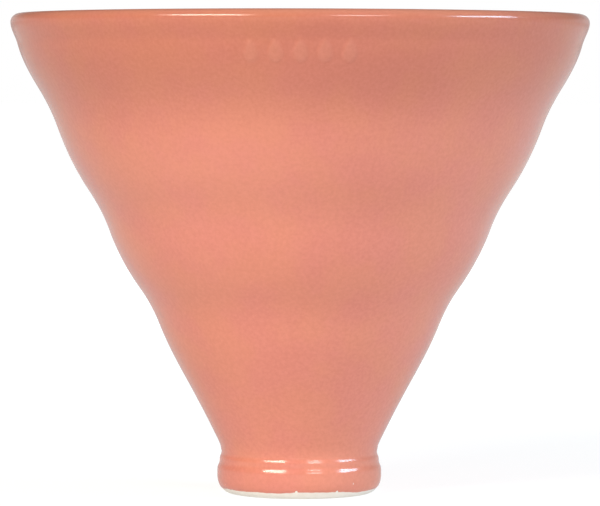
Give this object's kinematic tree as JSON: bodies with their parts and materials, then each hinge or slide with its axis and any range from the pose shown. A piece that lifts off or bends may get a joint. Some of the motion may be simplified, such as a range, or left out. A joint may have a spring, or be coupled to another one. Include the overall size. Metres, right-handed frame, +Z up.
{
  "type": "pour over dripper",
  "caption": "Coral glazed ceramic cone for pour-over coffee, with soft outer rings, a necked foot, spiral inner ribs and a lift-out conical paper filter.",
  "frame": {"origin": "middle of the foot's underside, on the surface that the dripper stands on", "axes": "+Z up along the cone's axis, from the foot to the lip; the object is round, so +X and +Y have no meaning of their own"},
  "size_m": [0.116, 0.116, 0.0962],
  "materials": {
    "coral_glaze": "gloss",
    "filter_paper": "matte"
  },
  "bodies": {
    "dripper": {"ceramic_cone": "coral_glaze"},
    "filter": {"paper_filter": "filter_paper"}
  },
  "joints": [
    {"name": "filter_lift", "type": "slide", "parent": "dripper", "child": "filter", "axis": [0, 0, 1], "range_m": [0, 0.11]}
  ]
}
